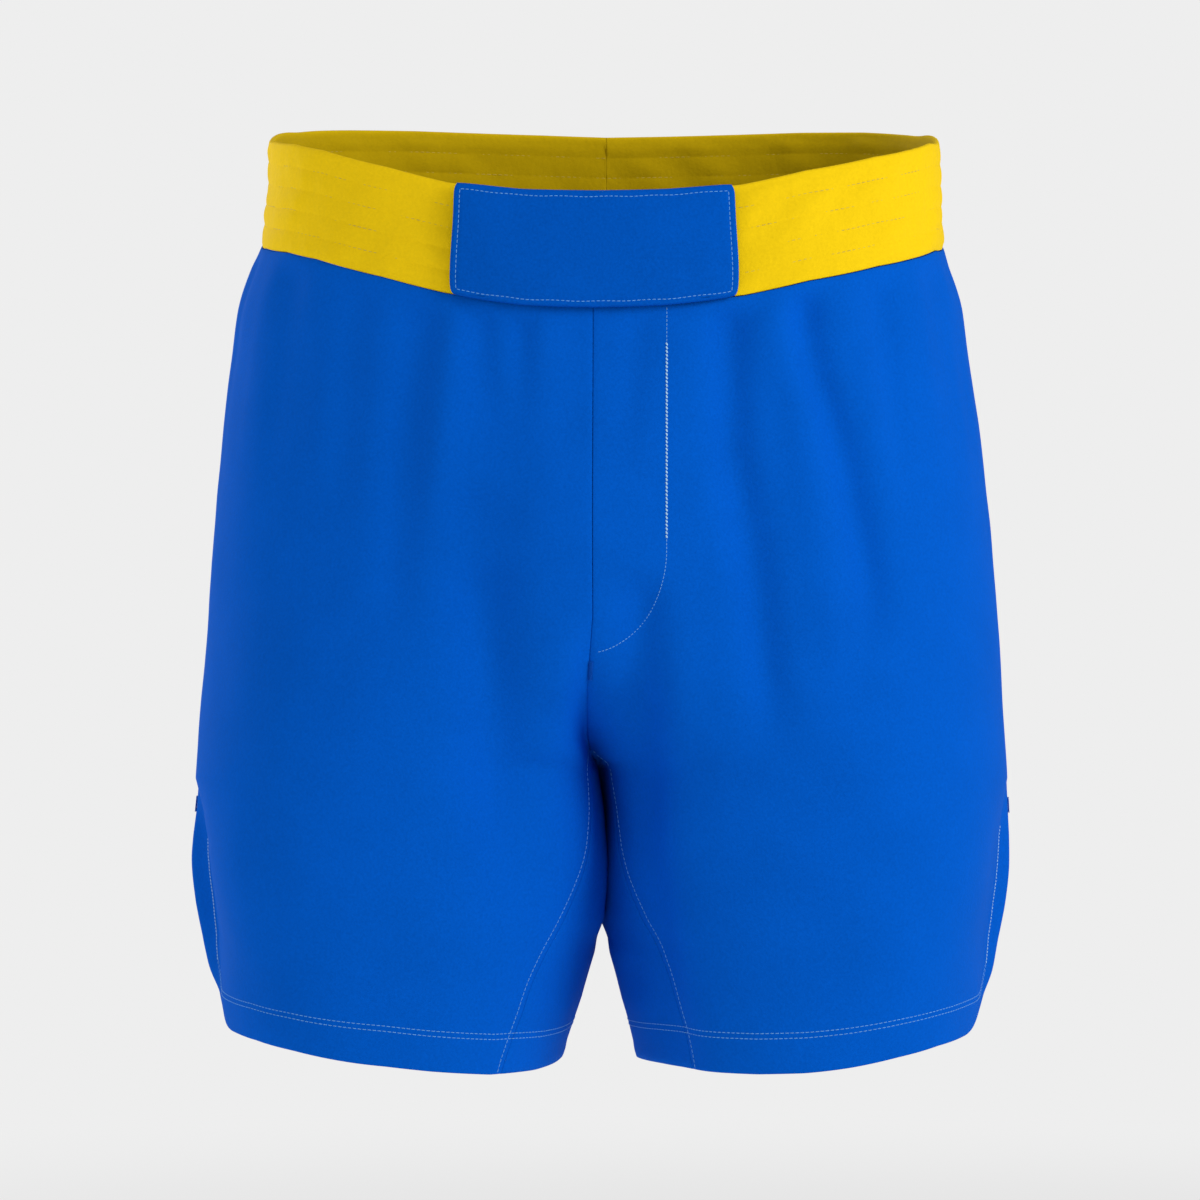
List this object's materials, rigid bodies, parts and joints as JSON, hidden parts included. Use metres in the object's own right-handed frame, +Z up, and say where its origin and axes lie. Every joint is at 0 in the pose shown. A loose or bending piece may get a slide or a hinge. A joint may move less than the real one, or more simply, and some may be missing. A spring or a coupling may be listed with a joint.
{
  "type": "boxing shorts",
  "caption": "Woven combat-sport shorts with a stitched elastic waistband, closure flap over a fold-open fly, inner-thigh gusset and rounded side vents.",
  "frame": {"origin": "centre of the waist opening, midway between the height of its front and its back edge", "axes": "+Z up, -Y to the wearer's front, +X to the wearer's left"},
  "size_m": [0.41, 0.2411, 0.47],
  "materials": {
    "body_cloth": "matte fine plain-weave polyester, royal blue",
    "waistband_cloth": "matte fine woven casing, golden yellow",
    "body_thread": "pale blue sewing thread with a slight sheen",
    "waistband_thread": "golden yellow sewing thread",
    "elastic": "knitted rubber elastic, off-white",
    "hook_and_loop": "matte dark blue hook and loop tape"
  },
  "bodies": {
    "root": {"back_panel_left": "body_cloth", "back_panel_right": "body_cloth", "fly_bartack": "body_thread", "fly_facing_lower": "body_cloth", "fly_loop_tape": "hook_and_loop", "fly_shield": "body_cloth", "fly_stitch_lower": "body_thread", "front_panel_left": "body_cloth", "front_panel_right": "body_cloth", "gusset_stitch_back_left": "body_thread", "gusset_stitch_back_right": "body_thread", "gusset_stitch_front_left": "body_thread", "gusset_stitch_front_right": "body_thread", "hem_and_vent_stitch_left": "body_thread", "hem_and_vent_stitch_right": "body_thread", "hem_facing_back_left": "body_cloth", "hem_facing_back_right": "body_cloth", "hem_facing_front_left": "body_cloth", "hem_facing_front_right": "body_cloth", "hem_facing_gusset_left": "body_cloth", "hem_facing_gusset_right": "body_cloth", "hem_upper_stitch_left": "body_thread", "hem_upper_stitch_right": "body_thread", "inner_thigh_gusset": "body_cloth", "vent_bartack_left": "body_thread", "vent_bartack_right": "body_thread", "vent_facing_back_left": "body_cloth", "vent_facing_back_right": "body_cloth", "vent_facing_front_left": "body_cloth", "vent_facing_front_right": "body_cloth", "waist_loop_tape": "hook_and_loop", "waistband_elastic": "elastic", "waistband_inner": "waistband_cloth", "waistband_outer": "waistband_cloth", "waistband_stitch_1": "waistband_thread", "waistband_stitch_2": "waistband_thread", "waistband_stitch_3": "waistband_thread", "waistband_stitch_4": "waistband_thread"},
    "fly_lapel": {"fly_lapel_panel": "body_cloth", "waistband_end_outer": "waistband_cloth", "waistband_end_elastic": "elastic", "waistband_end_inner": "waistband_cloth", "waistband_end_stitch_1": "waistband_thread", "waistband_end_stitch_2": "waistband_thread", "waistband_end_stitch_3": "waistband_thread", "waistband_end_stitch_4": "waistband_thread", "fly_facing_upper": "body_cloth", "fly_stitch_upper": "body_thread", "fly_hook_tape": "hook_and_loop"},
    "closure_flap": {"closure_flap_shell": "body_cloth", "closure_flap_lining": "body_cloth", "closure_flap_stitch": "body_thread", "flap_hook_tape": "hook_and_loop"}
  },
  "joints": [
    {"name": "fly_fold", "type": "hinge", "parent": "root", "child": "fly_lapel", "pos_m": [0, -0.1225, -0.245], "axis": [0.3876, 0.0643, 0.9196], "range_deg": [0, 45]},
    {"name": "flap_hinge", "type": "hinge", "parent": "fly_lapel", "child": "closure_flap", "pos_m": [0.0686, -0.1113, -0.05], "axis": [0, 0.0208, 0.9998], "range_deg": [0, 135]}
  ]
}
